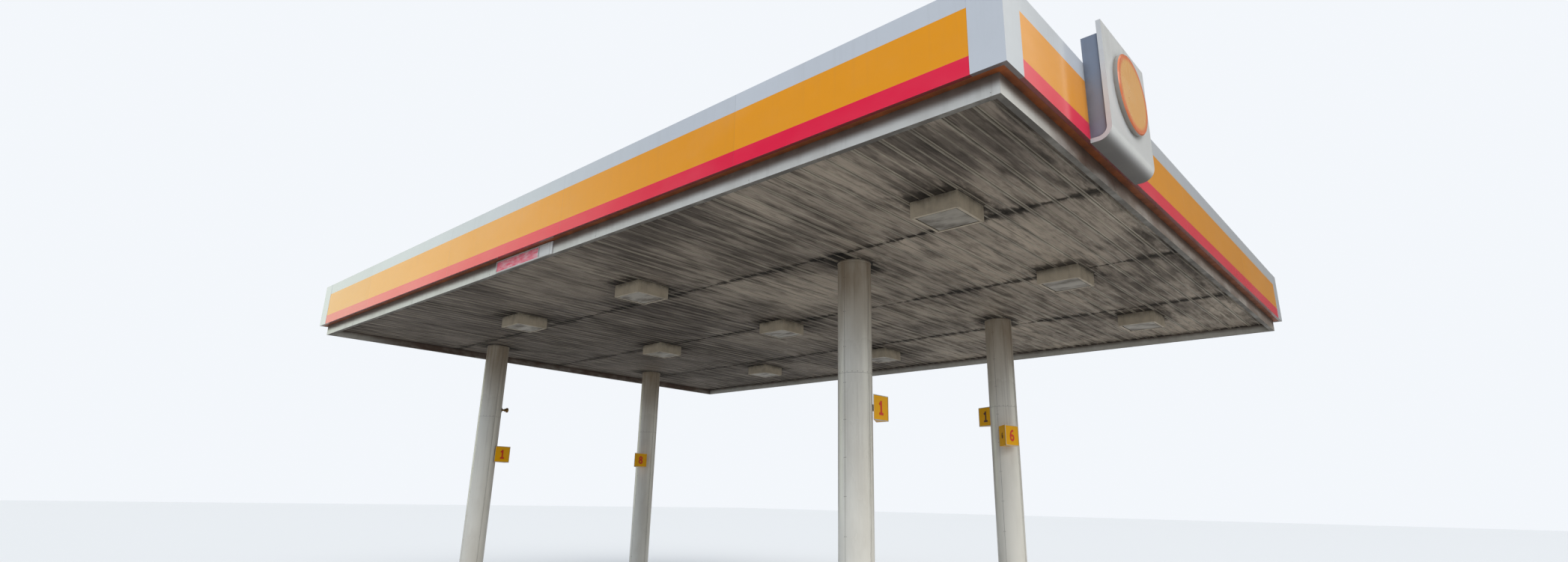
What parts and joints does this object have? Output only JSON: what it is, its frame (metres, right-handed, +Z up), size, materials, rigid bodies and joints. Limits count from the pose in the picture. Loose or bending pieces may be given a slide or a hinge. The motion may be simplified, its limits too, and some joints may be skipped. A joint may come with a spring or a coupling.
{
  "type": "filling station canopy",
  "caption": "Flat filling station canopy on round columns: ribbed metal ceiling, surface lamps, perimeter gutter, deep striped fascia and a sign pod with a plain disc.",
  "frame": {"origin": "on the ground, at the middle of the canopy's overall plan, its pod included", "axes": "+X towards the side with the sign pod, +Z up, -Y the side that faces the picture's left"},
  "size_m": [14.575, 10.382, 6.225],
  "materials": {
    "galvanised_steel": "dull galvanised",
    "primed_steel": "matt primer, dusty",
    "column_cover_paint": "satin off-white, streaked and dusty",
    "deck_paint": "white enamel under grey grime",
    "trim_paint": "satin white, weathered",
    "recess_paint": "satin orange-brown",
    "fascia_red": "gloss",
    "fascia_yellow": "gloss",
    "fascia_white": "gloss",
    "pod_paint": "satin",
    "disc_face": "satin, sun-faded",
    "lamp_paint": "satin, dusty",
    "lamp_lens": "frosted, dusty",
    "flag_face": "gloss",
    "plate_face": "satin, sun-faded"
  },
  "bodies": {
    "root": {"column_post_front_right": "galvanised_steel", "column_post_back_right": "galvanised_steel", "column_post_front_left": "galvanised_steel", "column_post_back_left": "galvanised_steel", "column_cover_front_right": "column_cover_paint", "column_cover_back_right": "column_cover_paint", "column_cover_front_left": "column_cover_paint", "column_cover_back_left": "column_cover_paint", "main_beam_right": "primed_steel", "main_beam_left": "primed_steel", "purlins": "primed_steel", "edge_frame_front": "primed_steel", "edge_frame_right": "primed_steel", "edge_frame_back": "primed_steel", "edge_frame_left": "primed_steel", "deck_row_1": "deck_paint", "deck_row_2": "deck_paint", "deck_row_3": "deck_paint", "deck_row_4": "deck_paint", "gutter_front": "trim_paint", "gutter_right": "trim_paint", "gutter_back": "trim_paint", "gutter_left": "trim_paint", "recess_strips": "recess_paint", "fascia_red_front": "fascia_red", "fascia_red_right": "fascia_red", "fascia_red_back": "fascia_red", "fascia_red_left": "fascia_red", "fascia_yellow_front": "fascia_yellow", "fascia_yellow_right": "fascia_yellow", "fascia_yellow_back": "fascia_yellow", "fascia_yellow_left": "fascia_yellow", "fascia_white_front": "fascia_white", "fascia_white_right": "fascia_white", "fascia_white_back": "fascia_white", "fascia_white_left": "fascia_white", "corner_post_front_right": "fascia_white", "corner_post_back_right": "fascia_white", "corner_post_front_left": "fascia_white", "corner_post_back_left": "fascia_white", "pod_plate": "pod_paint", "pod_housing": "pod_paint", "pod_disc": "disc_face", "lamp_housings": "lamp_paint", "lamp_lenses": "lamp_lens", "number_flags": "flag_face", "clearance_plate": "plate_face"}
  },
  "joints": []
}
